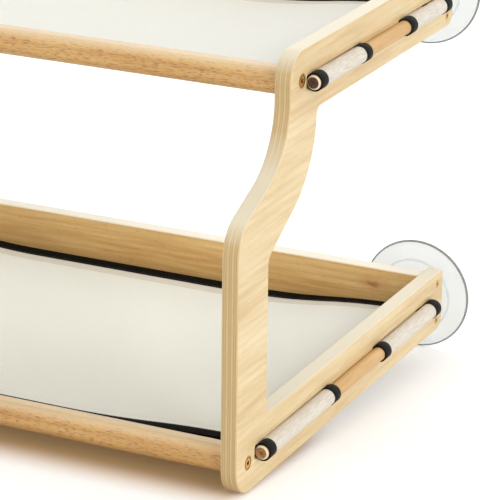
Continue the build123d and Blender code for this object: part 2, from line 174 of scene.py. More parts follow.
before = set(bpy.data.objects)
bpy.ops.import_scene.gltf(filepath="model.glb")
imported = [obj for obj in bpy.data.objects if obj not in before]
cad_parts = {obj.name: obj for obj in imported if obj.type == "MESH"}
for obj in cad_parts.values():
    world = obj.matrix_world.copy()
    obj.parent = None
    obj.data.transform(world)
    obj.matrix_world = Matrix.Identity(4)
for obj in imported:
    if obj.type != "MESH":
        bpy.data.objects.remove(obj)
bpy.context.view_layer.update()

TIERS = ("lower", "upper")
SIDES = {"right": 1, "left": -1}


def srgb(red, green, blue):
    """A colour written in 0 to 255 as Blender's linear colour."""
    def linear(value):
        share = value / 255
        return share / 12.92 if share <= 0.04045 else ((share + 0.055) / 1.055) ** 2.4
    return (linear(red), linear(green), linear(blue), 1.0)


def darker(colour, share):
    """A colour at a share of its brightness."""
    return [value * share for value in colour[:3]] + [1]


class Nodes:
    """A node tree and short ways to add nodes to it."""

    def __init__(self, tree):
        self.nodes = tree.nodes
        self.links = tree.links

    def add(self, kind, settings=None, **inputs):
        """A new node with its settings, and a value or a link for each input named."""
        node = self.nodes.new(kind)
        for key, value in (settings or {}).items():
            setattr(node, key, value)
        for key, value in inputs.items():
            self.feed(node.inputs[key.replace("_", " ")], value)
        return node

    def feed(self, socket, value):
        if isinstance(value, bpy.types.NodeSocket):
            self.links.new(value, socket)
        else:
            socket.default_value = value

    def math(self, operation, first, second=0.0):
        node = self.add("ShaderNodeMath", {"operation": operation})
        for socket, value in zip(node.inputs, (first, second)):
            self.feed(socket, value)
        return node.outputs[0]

    def times(self, first, second):
        return self.math("MULTIPLY", first, second)

    def mix(self, factor, first, second):
        node = self.add("ShaderNodeMix", {"data_type": "RGBA"})
        self.feed(node.inputs[MIX_FACTOR], factor)
        self.feed(node.inputs[MIX_FIRST], first)
        self.feed(node.inputs[MIX_SECOND], second)
        return node.outputs[MIX_RESULT]

    def level(self, factor, low, high, interpolation="LINEAR"):
        """The factor stretched so that low becomes 0 and high becomes 1."""
        node = self.add("ShaderNodeMapRange", {"clamp": True, "interpolation_type": interpolation},
                        Value=factor, From_Min=low, From_Max=high)
        return node.outputs[0]


class Look(Nodes):
    """A material, its shader and ways to draw a pattern on it in the object's own places."""

    def __init__(self, name):
        self.material = bpy.data.materials.new(name)
        self.material.use_nodes = True
        super().__init__(self.material.node_tree)
        self.shader = self.nodes["Principled BSDF"]
        self.place = self.add("ShaderNodeTexCoord").outputs["Object"]

    def mapped(self, scale=(1, 1, 1), turn=(0, 0, 0)):
        """The places scaled along each axis and turned by degrees."""
        node = self.add("ShaderNodeMapping", Vector=self.place, Scale=scale,
                        Rotation=[math.radians(angle) for angle in turn])
        return node.outputs[0]

    def noise(self, place, scale, detail=4.0, roughness=0.5):
        node = self.add("ShaderNodeTexNoise", Vector=place, Scale=scale, Detail=detail,
                        Roughness=roughness)
        return node.outputs["Fac"]

    def wave(self, across, pitch):
        """From -1 to 1 and back once in each pitch."""
        return self.math("SINE", self.times(across, math.tau / pitch))

    def reach(self, across, above):
        """The distance of a place from a middle, by its distances along two axes."""
        squares = [self.times(value, value) for value in (across, above)]
        return self.math("SQRT", self.math("ADD", *squares))

    def ramp(self, factor, stops):
        node = self.add("ShaderNodeValToRGB")
        elements = node.color_ramp.elements
        while len(elements) < len(stops):
            elements.new(1.0)
        for element, (position, colour) in zip(elements, stops):
            element.position = position
            element.color = colour
        self.feed(node.inputs[0], factor)
        return node.outputs[0]

    def axes(self, place=None):
        return self.add("ShaderNodeSeparateXYZ", Vector=place or self.place).outputs

    def normal(self):
        """The parts along X, Y and Z of the way that a face looks."""
        return self.axes(self.add("ShaderNodeNewGeometry").outputs["Normal"])

    def bump(self, height, distance, strength):
        node = self.add("ShaderNodeBump", Height=height, Distance=distance, Strength=strength)
        self.links.new(node.outputs[0], self.shader.inputs["Normal"])

    def set(self, **inputs):
        for key, value in inputs.items():
            self.feed(self.shader.inputs[key.replace("_", " ")], value)


def normal_axis(look, axis):
    """How far a face looks along an axis, either way, from 0 to 1."""
    return look.math("ABSOLUTE", look.normal()[axis])


def wood_grain(look, along, turn, colours, scale, figure, flecks=0.3, density=0.4):
    """Long streaks, growth rings and short dark pores that run along one axis."""
    pale, mid, dark = (srgb(*colour) for colour in colours)
    stretch = [1.0, 1.0, 1.0]
    stretch[along] = STREAK_STRETCH
    place = look.mapped(stretch, turn)
    streaks = look.noise(place, 130 * scale, 6, 0.62)
    broad = look.noise(place, 26 * scale, 3, 0.5)
    rings = look.add("ShaderNodeTexWave", {"bands_direction": "Z"}, Vector=place,
                     Scale=34 * scale, Distortion=7.0, Detail=3.0, Detail_Scale=0.7)
    rings = rings.outputs["Fac"]
    blend = look.math("ADD", look.times(streaks, 0.55), look.times(broad, 0.45))
    colour = look.ramp(blend, [(0.34, dark), (0.5, mid), (0.64, pale)])
    colour = look.mix(look.times(look.level(rings, 0.55, 1.0), figure), colour, dark)
    stretch[along] = PORE_STRETCH
    pores = look.noise(look.mapped(stretch, turn), 1100, 2, 0.5)
    specks = look.level(pores, density, density - 0.1)
    pore_colour = (dark[0] * 0.75, dark[1] * 0.58, dark[2] * 0.5, 1.0)
    colour = look.mix(look.times(specks, flecks), colour, pore_colour)
    return colour, look.math("ADD", streaks, look.times(specks, -0.6))


def painted_top_light(look):
    """Where painted top light goes: 1 on faces that look upwards, 0 on the others."""
    return look.level(look.normal()[Z], 0.35, 0.85)


def plywood():
    """Pale veneer with slanting grain on the faces, faint plies along the edges and painted top
    light.
    """
    look = Look("plywood")
    face, streaks = wood_grain(
        look, Y, (-8, 0, 0), ((233, 212, 171), (224, 199, 150), (206, 173, 119)), 1.3, 0.2, 0.2)
    low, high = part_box("side_plate_right")
    width = look.math("ABSOLUTE", look.axes()[X])
    depth = look.math("DIVIDE", look.math("SUBTRACT", width, low.x), high.x - low.x)
    wobble = look.noise(look.place, 60, 2)
    depth = look.math("ADD", depth, look.times(look.math("SUBTRACT", wobble, 0.5), 0.03))
    pale, tan, glue = srgb(208, 182, 132), srgb(195, 167, 116), srgb(174, 142, 92)
    stops = []
    for ply in range(PLIES):
        colour = pale if ply % 2 == 0 else tan
        start, end = ply / PLIES, (ply + 1) / PLIES
        stops += [(start + GLUE_SHARE, colour), (end - GLUE_SHARE, colour)]
        if ply < PLIES - 1:
            stops.append((end, glue))
    edge = look.ramp(depth, stops)
    fibres = look.noise(look.mapped((1.0, 0.12, 0.12)), 700, 3, 0.6)
    edge = look.mix(look.times(look.level(fibres, 0.35, 0.65), 0.3), edge, srgb(182, 146, 96))
    # Painted top light: edges that face up are painted pale cream.
    edge = look.mix(look.times(painted_top_light(look), 0.85), edge, srgb(231, 221, 194))
    flat = look.level(normal_axis(look, X), 0.55, 0.8)
    look.set(Base_Color=look.mix(flat, edge, face), Roughness=0.42,
             Coat_Weight=0.2, Coat_Roughness=0.35)
    look.bump(look.math("ADD", look.times(streaks, 0.4), look.times(fibres, 0.3)), 0.2 * MM, 0.5)
    return look.material


def rail_wood():
    """Darker tan hardwood with straight grain and dark flecks along X, paler on top as painted top
    light.
    """
    look = Look("rail_wood")
    colour, streaks = wood_grain(
        look, X, (0, 0, 0), ((216, 175, 112), (203, 157, 92), (172, 126, 68)), 1.0, 0.25, 0.7, 0.46)
    # Painted top light: the top is painted paler.
    colour = look.mix(look.times(painted_top_light(look), 0.5), colour, srgb(246, 226, 184))
    look.set(Base_Color=colour, Roughness=0.4, Coat_Weight=0.2, Coat_Roughness=0.3)
    look.bump(streaks, 0.2 * MM, 0.5)
    return look.material


def knot(look, colour, x, z, size):
    """A reddish knot with a darker heart at a place on the board."""
    axes = look.axes()
    warp = look.times(look.math("SUBTRACT", look.noise(look.place, 90, 3), 0.5), size)
    across = look.math("ADD", look.math("SUBTRACT", axes[X], x), warp)
    above = look.math("ADD", look.math("SUBTRACT", axes[Z], z), warp)
    reach = look.reach(look.math("DIVIDE", across, KNOT_STRETCH), above)
    halo = look.times(look.level(reach, size, size * 0.25), 0.55)
    heart = look.times(look.level(reach, size * 0.4, size * 0.1), 0.6)
    colour = look.mix(halo, colour, srgb(186, 118, 62))
    return look.mix(heart, colour, srgb(140, 80, 42))


def board_wood():
    """Golden brown wood with fine grain along X, a knot near its right end and a top painted pale
    as top light.
    """
    look = Look("board_wood")
    colour, streaks = wood_grain(
        look, X, (0, 3, 0), ((226, 192, 130), (213, 172, 107), (190, 141, 74)), 1.3, 0.3, 0.4)
    clouds = look.level(look.noise(look.mapped((0.5, 1, 1)), 14, 2), 0.5, 0.75)
    colour = look.mix(look.times(clouds, 0.35), colour, srgb(178, 130, 76))
    colour = knot(look, colour, *KNOT_PLACE, KNOT_SIZE)
    # Painted top light: the top is painted pale cream.
    colour = look.mix(look.times(painted_top_light(look), 0.9), colour, srgb(246, 240, 222))
    look.set(Base_Color=colour, Roughness=0.45, Coat_Weight=0.15, Coat_Roughness=0.35)
    look.bump(streaks, 0.2 * MM, 0.5)
    return look.material


def dowel_wood(tier, end_colour, name):
    """Round bar with dark-hearted end grain inside a chamfer painted pale as a highlight."""
    look = Look(name)
    colour, streaks = wood_grain(
        look, Y, (0, 0, 0), ((224, 189, 134), (211, 170, 112), (192, 146, 91)), 1.0, 0.25, 0.3)
    facing_out = normal_axis(look, Y)
    end = look.level(facing_out, 0.85, 0.95)
    painted_chamfer_highlight = look.level(facing_out, 0.35, 0.6)
    rings = look.noise(look.mapped((1, 0.1, 1)), 500, 3)
    end_grain = look.mix(look.level(rings, 0.4, 0.6), end_colour, darker(end_colour, 0.6))
    low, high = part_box(f"dowel_{tier}_right")
    axes = look.axes()
    across = look.math("SUBTRACT", look.math("ABSOLUTE", axes[X]), (low.x + high.x) / 2)
    above = look.math("SUBTRACT", axes[Z], (low.z + high.z) / 2)
    heart = look.level(look.reach(across, above), *DOWEL_HEART)
    end_grain = look.mix(heart, end_grain, darker(end_colour, 0.35))
    # Painted highlight: the chamfer round the end is painted pale.
    colour = look.mix(painted_chamfer_highlight, colour, srgb(226, 208, 184))
    look.set(Base_Color=look.mix(end, colour, end_grain), Roughness=0.5)
    look.bump(streaks, 0.2 * MM, 0.5)
    return look.material


def weave_height(look, pitch, slant):
    """The height of a plain weave turned by a slant, from two crossed waves."""
    axes = look.axes(look.mapped(turn=(0, 0, slant)))
    return look.times(look.wave(axes[X], pitch), look.wave(axes[Y], pitch))


def mesh_cloth(name, tint=None, shade=0.0):
    """Off-white woven mesh with a faint slanting rib that also paints shade near the front, tinted
    where it lies double.
    """
    look = Look(name)
    weave = weave_height(look, *CLOTH_WEAVE)
    slubs = look.noise(look.mapped(turn=(0, 0, CLOTH_WEAVE[1])), 420, 3, 0.6)
    clouds = look.noise(look.place, 9, 2)
    colour = look.mix(look.level(weave, -0.6, 0.8), srgb(236, 236, 224), srgb(253, 254, 246))
    colour = look.mix(look.times(look.level(slubs, 0.35, 0.65), 0.22), colour, srgb(234, 230, 216))
    colour = look.mix(look.times(clouds, 0.12), colour, srgb(238, 237, 230))
    rib_pitch, rib_slant = CLOTH_RIB
    across = look.axes(look.mapped(turn=(0, 0, rib_slant)))[X]
    rib = look.level(look.wave(across, rib_pitch), -0.2, 0.8)
    # The darker rib shows most near the front and away from the plates, and paints shade on the
    # cloth there.
    axes = look.axes()
    near_front = look.level(axes[Y], *RIB_AND_SHADE_FRONT)
    inward = look.level(look.math("ABSOLUTE", axes[X]), *RIB_AND_SHADE_SIDE)
    shown = look.math("ADD", 0.06, look.times(look.times(near_front, inward), 0.5))
    colour = look.mix(look.times(rib, shown), colour, srgb(210, 203, 188))
    if tint:
        colour = look.mix(shade, colour, tint)
    look.set(Base_Color=colour, Roughness=0.85, Sheen_Weight=0.1, Sheen_Roughness=0.5,
             Subsurface_Weight=0.1, Subsurface_Radius=(1, 1, 1), Subsurface_Scale=3 * MM)
    look.bump(look.math("ADD", weave, look.times(slubs, 0.6)), 0.25 * MM, 0.55)
    return look.material


def mesh_sleeve():
    """The mesh pulled round a dowel: broken ribs along it, the wood showing through as warmth."""
    look = Look("mesh_sleeve")
    ribs = look.noise(look.mapped((1, 0.06, 1)), 1500, 3, 0.6)
    dashes = look.noise(look.mapped((1, 0.35, 1)), 1900, 2, 0.6)
    colour = look.mix(look.level(ribs, 0.36, 0.64), srgb(207, 197, 181), srgb(230, 223, 210))
    dashes_shown = look.times(look.level(dashes, 0.40, 0.30), 0.45)
    colour = look.mix(dashes_shown, colour, srgb(190, 170, 152))
    look.set(Base_Color=colour, Roughness=0.75, Sheen_Weight=0.1, Sheen_Roughness=0.5)
    look.bump(look.math("ADD", ribs, dashes), 0.3 * MM, 0.6)
    return look.material


def edge_tape():
    """Black woven tape with a fine rib."""
    look = Look("edge_tape")
    weave = weave_height(look, *TAPE_WEAVE)
    fuzz = look.noise(look.place, 900, 3, 0.6)
    colour = look.mix(look.level(weave, -0.7, 0.9), srgb(10, 9, 7), srgb(26, 23, 19))
    colour = look.mix(look.times(look.level(fuzz, 0.5, 0.75), 0.35), colour, srgb(44, 39, 33))
    look.set(Base_Color=colour, Roughness=0.9, Specular_IOR_Level=0.05)
    look.bump(look.math("ADD", weave, fuzz), 0.2 * MM, 0.6)
    return look.material


def edge_band():
    """The same tape pulled tight round a sleeve: ribbed along its turns, with a soft shine."""
    look = Look("edge_band")
    ribs = look.wave(look.axes()[Y], BAND_RIB)
    fuzz = look.noise(look.place, 900, 3, 0.6)
    colour = look.mix(look.level(ribs, -0.8, 0.9), srgb(12, 11, 10), srgb(28, 26, 24))
    colour = look.mix(look.times(look.level(fuzz, 0.5, 0.75), 0.4), colour, srgb(46, 43, 39))
    look.set(Base_Color=colour, Roughness=0.6, Specular_IOR_Level=0.1)
    look.bump(look.math("ADD", look.times(ribs, 0.5), fuzz), 0.25 * MM, 0.6)
    return look.material


def thread(name, colour):
    """Sewing thread, with painted shade making it greyer where its twist turns under."""
    look = Look(name)
    twist = look.times(look.noise(look.place, 2500, 2), 0.3)
    look.set(Base_Color=look.mix(twist, colour, srgb(120, 116, 108)), Roughness=0.7)
    return look.material


def bronze():
    """Bronze, bright on the rim, with painted shade darkening it in the recess and the socket."""
    look = Look("bronze")
    worn = look.noise(look.place, 700, 4, 0.6)
    colour = look.mix(look.level(worn, 0.35, 0.7), srgb(200, 144, 72), srgb(244, 196, 116))
    # Painted shade: the bronze turns dark brown where ambient occlusion finds a recess.
    hollow = look.add("ShaderNodeAmbientOcclusion", {"samples": 8}, Distance=1.6 * MM)
    shade = look.level(hollow.outputs["AO"], 0.45, 0.95)
    look.set(Base_Color=look.mix(shade, srgb(84, 48, 18), colour), Metallic=0.85, Roughness=0.38)
    look.bump(worn, 0.1 * MM, 0.3)
    return look.material


def plain_metal(name, colour, roughness):
    """Metal with fine turning marks."""
    look = Look(name)
    brushed = look.noise(look.mapped((1, 0.1, 1)), 900, 3)
    look.set(Base_Color=look.mix(look.times(brushed, 0.25), colour, srgb(110, 108, 104)),
             Metallic=1.0, Roughness=roughness)
    look.bump(brushed, 0.1 * MM, 0.2)
    return look.material


def clear_vinyl(name, tint, clearness):
    """Clear soft vinyl with faint grey ripples, in a tint that is grey where painted shade stands
    for refraction at the cup's edges.
    """
    look = Look(name)
    ripple = look.noise(look.place, 30, 2)
    look.set(Base_Color=look.mix(ripple, tint, darker(tint, 0.97)), Roughness=0.05,
             IOR=1.3, Transmission_Weight=clearness, Specular_IOR_Level=0.5)
    look.bump(ripple, MM, 0.15)
    return look.material


def black_plastic():
    """Black moulded plastic with a fine grain."""
    look = Look("nut_plastic")
    grain = look.noise(look.place, 1500, 2)
    look.set(Base_Color=look.mix(grain, srgb(30, 30, 31), srgb(44, 44, 45)), Roughness=0.45)
    look.bump(grain, 0.1 * MM, 0.3)
    return look.material


LOOKS = {
    "plywood": plywood(),
    "rail_wood": rail_wood(),
    "board_wood": board_wood(),
    "mesh_cloth": mesh_cloth("mesh_cloth"),
    "mesh_hem": mesh_cloth("mesh_hem", srgb(206, 192, 172), 0.5),
    "mesh_sleeve": mesh_sleeve(),
    "edge_tape": edge_tape(),
    "edge_band": edge_band(),
    "bronze": bronze(),
    "insert_brass": plain_metal("insert_brass", srgb(206, 172, 104), 0.35),
    "steel": plain_metal("steel", srgb(190, 190, 188), 0.3),
    "clear_vinyl": clear_vinyl("clear_vinyl", srgb(233, 235, 233), 0.94),
    # Painted shade: grey vinyl for the cup's rim and step lines, standing in for the refraction at
    # the cup's edges.
    "vinyl_painted_rim": clear_vinyl("vinyl_painted_rim", srgb(118, 122, 124), 0.5),
    "vinyl_painted_step": clear_vinyl("vinyl_painted_step", srgb(206, 209, 210), 0.8),
    "nut_plastic": black_plastic(),
    "pale_thread": thread("pale_thread", srgb(236, 232, 222)),
    "dark_thread": thread("dark_thread", srgb(70, 66, 62)),
}
# The upper dowels' end grain is painted much darker than the lower ones': painted shade on their
# ends.
DOWEL_ENDS = {
    "lower": dowel_wood("lower", srgb(176, 130, 78), "dowel_wood_lower"),
    "upper": dowel_wood("upper", srgb(86, 54, 36), "dowel_wood_upper"),
}
TIER_LOOKS = {
    "front_rail": "rail_wood",
    "back_board": "board_wood",
    "rail_bolts": "bronze",
    "rail_inserts": "insert_brass",
    "board_screws": "bronze",
    "cup_studs": "steel",
    "cup_washers": "steel",
}


def dress(node, material):
    """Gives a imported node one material."""
    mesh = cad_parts[node].data
    mesh.materials.clear()
    mesh.materials.append(material)


def dress_nodes():
    """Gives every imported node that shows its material."""
    dress("side_plate_right", LOOKS["plywood"])
    dress("side_plate_left", LOOKS["plywood"])
    for tier in TIERS:
        for piece, look in TIER_LOOKS.items():
            dress(f"{piece}_{tier}", LOOKS[look])
        for side in SIDES:
            dress(f"dowel_{tier}_{side}", DOWEL_ENDS[tier])
            dress(f"thumb_nut_{tier}_{side}", LOOKS["nut_plastic"])


def make_piece(name, points, faces, material):
    """A smooth mesh object that rides on the frame."""
    mesh = bpy.data.meshes.new(name)
    mesh.from_pydata([tuple(point) for point in points], [], faces)
    mesh.validate()
    mesh.polygons.foreach_set("use_smooth", [True] * len(mesh.polygons))
    mesh.materials.append(material)
    piece = bpy.data.objects.new(name, mesh)
    bpy.context.scene.collection.objects.link(piece)
    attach(piece, "frame")
    return piece


def add_look(piece, name):
    """The index under which a piece's faces can take one more look."""
    piece.data.materials.append(LOOKS[name])
    return len(piece.data.materials) - 1


def steps(start, end, step):
    """Evenly spaced values from start to end, both included."""
    count = max(1, math.ceil(abs(end - start) / step))
    return [start + (end - start) * index / count for index in range(count + 1)]


def smooth_step(value):
    """The value from 0 to 1 with a soft start and end."""
    share = min(1.0, max(0.0, value))
    return share * share * (3 - 2 * share)


def through(places, values, place):
    """A smooth value at a place, from the values at a few places in rising order."""
    index = max(0, min(len(places) - 2, sum(place >= other for other in places) - 1))
    low, high = places[index], places[index + 1]
    width = high - low

    def slope(at):
        before, after = max(0, at - 1), min(len(places) - 1, at + 1)
        return (values[after] - values[before]) / (places[after] - places[before])

    t = min(1.0, max(0.0, (place - low) / width))
    return ((2 * t ** 3 - 3 * t ** 2 + 1) * values[index]
            + (t ** 3 - 2 * t ** 2 + t) * width * slope(index)
            + (3 * t ** 2 - 2 * t ** 3) * values[index + 1]
            + (t ** 3 - t ** 2) * width * slope(index + 1))


class Sling:
    """Where one tier's cloth lies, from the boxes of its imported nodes."""

    def __init__(self, tier):
        self.tier = tier
        plate_low, plate_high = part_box("side_plate_right")
        self.inner, self.outer = plate_low.x, plate_high.x
        low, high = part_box(f"dowel_{tier}_right")
        self.dowel_x, self.dowel_z = (low.x + high.x) / 2, (low.z + high.z) / 2
        self.dowel_radius = (high.x - low.x) / 2
        low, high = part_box(f"sling_{tier}")
        self.front, self.back = low.y, high.y
        low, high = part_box(f"notch_binding_{tier}_right")
        self.notch_front, self.notch_back = low.y + TAPE_WIDTH, high.y - TAPE_WIDTH
        self.notch_x = low.x + TAPE_WIDTH
        self.sleeve = self.dowel_radius + SLEEVE_GAP + CLOTH / 2
        self.pockets = [(self.front, self.notch_front), (self.notch_back, self.back)]
        hem_run = (EDGE_RUN + MIDDLE_RUN) / 2
        self.stations = (self.front, self.front + HEM_WIDTH, (self.front + self.back) / 2,
                         self.back - HEM_WIDTH, self.back)
        self.runs = (EDGE_RUN, hem_run, MIDDLE_RUN, hem_run, EDGE_RUN)

    def slot_z(self, y):
        """The cloth's height where it passes through the plate."""
        fall = (FRONT_LIFT + REAR_DROP) / (self.back - self.front)
        return self.dowel_z + FRONT_LIFT - fall * (y - self.front)

    def hem(self, y):
        """The rise of the doubled cloth beside the front and rear edges."""
        near = min(y - self.front, self.back - y)
        return HEM_RISE * smooth_step((HEM_WIDTH - near) / HEM_SLOPE)

    def wrinkle(self, x, y):
        """Faint pulls that fan out from the ends of the pockets."""
        height = 0.0
        for corner, lean in ((self.notch_front, 1), (self.notch_back, -1)):
            across = y - corner - lean * PULL_LEAN * (self.notch_x - abs(x))
            reach = (self.notch_x - abs(x)) / PULL_REACH
            if reach > 0:
                fade = reach * math.exp(1 - reach * PULL_FADE)
                height += (fade * PULL_HEIGHT * math.cos(across / PULL_WAVE)
                           * math.exp(-(across / PULL_SPREAD) ** 2))
        return height

    def height(self, x, y):
        """The panel's height at a place between the plates."""
        run = through(self.stations, self.runs, y)
        share = min(1.0, max(0.0, (self.inner - abs(x)) / run))
        drop = 2 * share ** 2 if share < 0.5 else 1 - 2 * (1 - share) ** 2
        sag = through(self.stations, SAGS, y)
        return self.slot_z(y) - sag * drop + self.wrinkle(x, y) + self.hem(y)

    def layer_drop(self):
        """How far the returning layer lies under the panel."""
        return CLOTH + LAYER_GAP

    def flare(self, y, above):
        """Where the upper or lower layer leaves the slot to go round the dowel."""
        z = self.slot_z(y) + (0 if above else -self.layer_drop())
        return self.outer - FLARE_START, z

    def tangent(self, point, above):
        """The angle on the sleeve at which a layer from a point touches it."""
        dx, dz = point[0] - self.dowel_x, point[1] - self.dowel_z
        heading = math.atan2(dz, dx)
        spread = math.acos(self.sleeve / math.hypot(dx, dz))
        return heading - spread if above else heading + spread

    def on_sleeve(self, angle):
        """The middle of the cloth round the right dowel, at an angle from outwards."""
        return (self.dowel_x + self.sleeve * math.cos(angle),
                self.dowel_z + self.sleeve * math.sin(angle))

    def pocket_path(self, y):
        """The cloth's line from the notch's depth, round the right dowel and back."""
        start, end = self.flare(y, True), self.flare(y, False)
        path = [(x, self.height(x, y)) for x in steps(self.notch_x, self.inner, COLUMN_STEP)]
        path.append(start)
        first = self.tangent(start, True) % math.tau
        last = self.tangent(end, False) % math.tau - math.tau
        path += [self.on_sleeve(angle) for angle in steps(first, last, (first - last) / LOOP_STEPS)]
        path.append(end)
        for x in steps(self.inner, self.inner - RETURN_LENGTH, COLUMN_STEP):
            path.append((x, self.height(x, y) - self.hem(y) - self.layer_drop()))
        return path


def grid_faces(rows, columns, offset=0):
    """Quads of a grid whose points are stored row by row."""
    corners = [offset + row * columns + column
               for row in range(rows - 1) for column in range(columns - 1)]
    return [(corner, corner + 1, corner + columns + 1, corner + columns) for corner in corners]


def cloth_rows(sling):
    """Places along Y where the cloth has points, with one at each end of each pocket."""
    rows = []
    limits = [sling.front, sling.notch_front, sling.notch_back, sling.back]
    for start, end in zip(limits, limits[1:]):
        rows += steps(start, end, ROW_STEP)[:-1]
    return rows + [sling.back]


def sling_piece(sling):
    """The panel and its four pockets as one cloth."""
    rows = cloth_rows(sling)
    columns = steps(-sling.notch_x, sling.notch_x, COLUMN_STEP)
    points = [Vector((x, y, sling.height(x, y))) for y in rows for x in columns]
    faces = grid_faces(len(rows), len(columns))
    flat_area = 2 * sling.notch_x * (sling.back - sling.front)
    for start, end in sling.pockets:
        inside = [y for y in rows if start - CLOTH_WELD <= y <= end + CLOTH_WELD]
        for side in SIDES.values():
            paths = [sling.pocket_path(y) for y in inside]
            offset = len(points)
            points += [Vector((side * x, y, z))
                       for y, path in zip(inside, paths) for x, z in path]
            strip = grid_faces(len(inside), len(paths[0]), offset)
            faces += strip if side > 0 else [tuple(reversed(face)) for face in strip]
        run = sum(math.dist(a, b) for a, b in zip(paths[0], paths[0][1:]))
        flat_area += 2 * run * (end - start)
    piece = make_piece(f"sling_mesh_{sling.tier}", points, faces, LOOKS["mesh_cloth"])
    hem_look = add_look(piece, "mesh_hem")
    sleeve_look = add_look(piece, "mesh_sleeve")
    for face in piece.data.polygons:
        if abs(face.center.x) > sling.inner:
            face.material_index = sleeve_look
        elif sling.back - face.center.y < HEM_WIDTH:
            face.material_index = hem_look
    weld = piece.modifiers.new("weld", "WELD")
    weld.merge_threshold = CLOTH_WELD
    thick = piece.modifiers.new("thickness", "SOLIDIFY")
    thick.thickness = CLOTH
    thick.offset = 0
    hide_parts(f"sling_{sling.tier}")
    width = 2 * (sling.notch_x + run)
    return piece, (width, sling.back - sling.front), flat_area


def sweep(sections):
    """Points and faces of a tube whose sections are loops of equal length, shut at both ends."""
    count = len(sections[0])
    points = [point for section in sections for point in section]
    faces = []
    for row in range(len(sections) - 1):
        for column in range(count):
            after = (column + 1) % count
            faces.append((row * count + column, row * count + after,
                          (row + 1) * count + after, (row + 1) * count + column))
    faces.append(tuple(range(count))[::-1])
    last = (len(sections) - 1) * count
    faces.append(tuple(range(last, last + count)))
    return points, faces


def fold_profile():
    """A strip folded over an edge, as (distance into the cloth, lean, layers out).

    The lean goes from -1 under the cloth to 1 over it.
    """
    half = TAPE_WIDTH / 2
    outer = [(TAPE_WIDTH, 1, 1), (half, 1, 1)]
    for index in range(FOLD_STEPS + 1):
        angle = math.pi / 2 + math.pi * index / FOLD_STEPS
        outer.append((TAPE_LIP * math.cos(angle), math.sin(angle), 1))
    outer += [(half, -1, 1), (TAPE_WIDTH, -1, 1)]
    inner = [(TAPE_WIDTH, -1, 0), (half, -1, 0), (0, -1, 0), (TAPE - TAPE_LIP, 0, 0), (0, 1, 0),
             (half, 1, 0), (TAPE_WIDTH, 1, 0)]
    return outer + inner


def under_tape(sling, x, y):
    """The middle of the cloth under a tape, its normal and half its thickness there."""
    doubled = smooth_step((abs(x) - (sling.inner - RETURN_LENGTH)) / LAP_SLOPE)
    edge = min(max(y, sling.front), sling.back)
    rise = sling.hem(edge)
    if abs(x) <= sling.inner:
        z = sling.height(x, edge)
        normal = panel_normal(sling, x, edge)
    else:
        z = sling.slot_z(edge) + rise
        normal = Vector((0, 0, 1))
    lap = (sling.layer_drop() + rise) / 2 * doubled
    return Vector((x, y, z)) - normal * lap, normal, CLOTH / 2 + TAPE_SEAT + lap


def tape_run(sling, stations):
    """A folded tape along stations of (x, y, heading into the cloth)."""
    sections = []
    for x, y, heading in stations:
        section = []
        for distance, lean, layer in fold_profile():
            middle, normal, half = under_tape(
                sling, x + heading[0] * distance, y + heading[1] * distance)
            section.append(middle + normal * (lean * (half + layer * TAPE)))
        sections.append(section)
    return sweep(sections)


def band_ring(sling, side, start, end, lip_at_start):
    """The band round a sleeve, with its lip turned down over the sleeve's end."""
    base = sling.sleeve + CLOTH / 2 + TAPE_SEAT
    top = base + TAPE
    floor = sling.dowel_radius + SLEEVE_GAP / 2
    soft = BAND_ROUNDING
    length = end - start
    profile = [(-TAPE_LIP, floor), (-TAPE_LIP, top - soft), (-TAPE_LIP + soft, top),
               (length - soft / 2, top), (length, top - soft / 2), (length, base),
               (TAPE_SEAT, base), (TAPE_SEAT - TAPE / 2, floor)]
    origin, heading = (start, 1) if lip_at_start else (end, -1)
    points, faces = [], []
    for index in range(BAND_TURNS):
        angle = math.tau * index / BAND_TURNS
        for distance, radius in profile:
            points.append(Vector((side * (sling.dowel_x + radius * math.cos(angle)),
                                  origin + heading * distance,
                                  sling.dowel_z + radius * math.sin(angle))))
    count = len(profile)
    for index in range(BAND_TURNS):
        following = (index + 1) % BAND_TURNS
        for column in range(count):
            after = (column + 1) % count
            faces.append((index * count + column, index * count + after,
                          following * count + after, following * count + column))
    return points, faces


def join(shapes):
    """Several (points, faces) as one."""
    points, faces = [], []
    for more_points, more_faces in shapes:
        offset = len(points)
        points += more_points
        faces += [tuple(index + offset for index in face) for face in more_faces]
    return points, faces


def panel_normal(sling, x, y):
    """The panel's upward normal, which leans along X alone."""
    slope = (sling.height(x + MM, y) - sling.height(x - MM, y)) / (2 * MM)
    return Vector((-slope, 0, 1)).normalized()


def show_bands(sling, piece):
    """Gives the bands outside the plate their own look."""
    band_look = add_look(piece, "edge_band")
    for face in piece.data.polygons:
        if abs(face.center.x) > sling.outer - FLARE_START + BAND_MARGIN:
            face.material_index = band_look


def edge_binding_piece(sling, where):
    """Tape along the front or rear edge with a band round each dowel."""
    y, inward = (sling.front, 1) if where == "front" else (sling.back, -1)
    reach = sling.outer - FLARE_START
    shapes = [tape_run(sling, [(x, y, (0, inward)) for x in steps(-reach, reach, COLUMN_STEP)])]
    limits = sorted((y, y + inward * TAPE_WIDTH))
    for side in SIDES.values():
        shapes.append(band_ring(sling, side, *limits, where == "front"))
    points, faces = join(shapes)
    piece = make_piece(f"{where}_tape_{sling.tier}", points, faces, LOOKS["edge_tape"])
    show_bands(sling, piece)
    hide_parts(f"{where}_binding_{sling.tier}")
    return piece


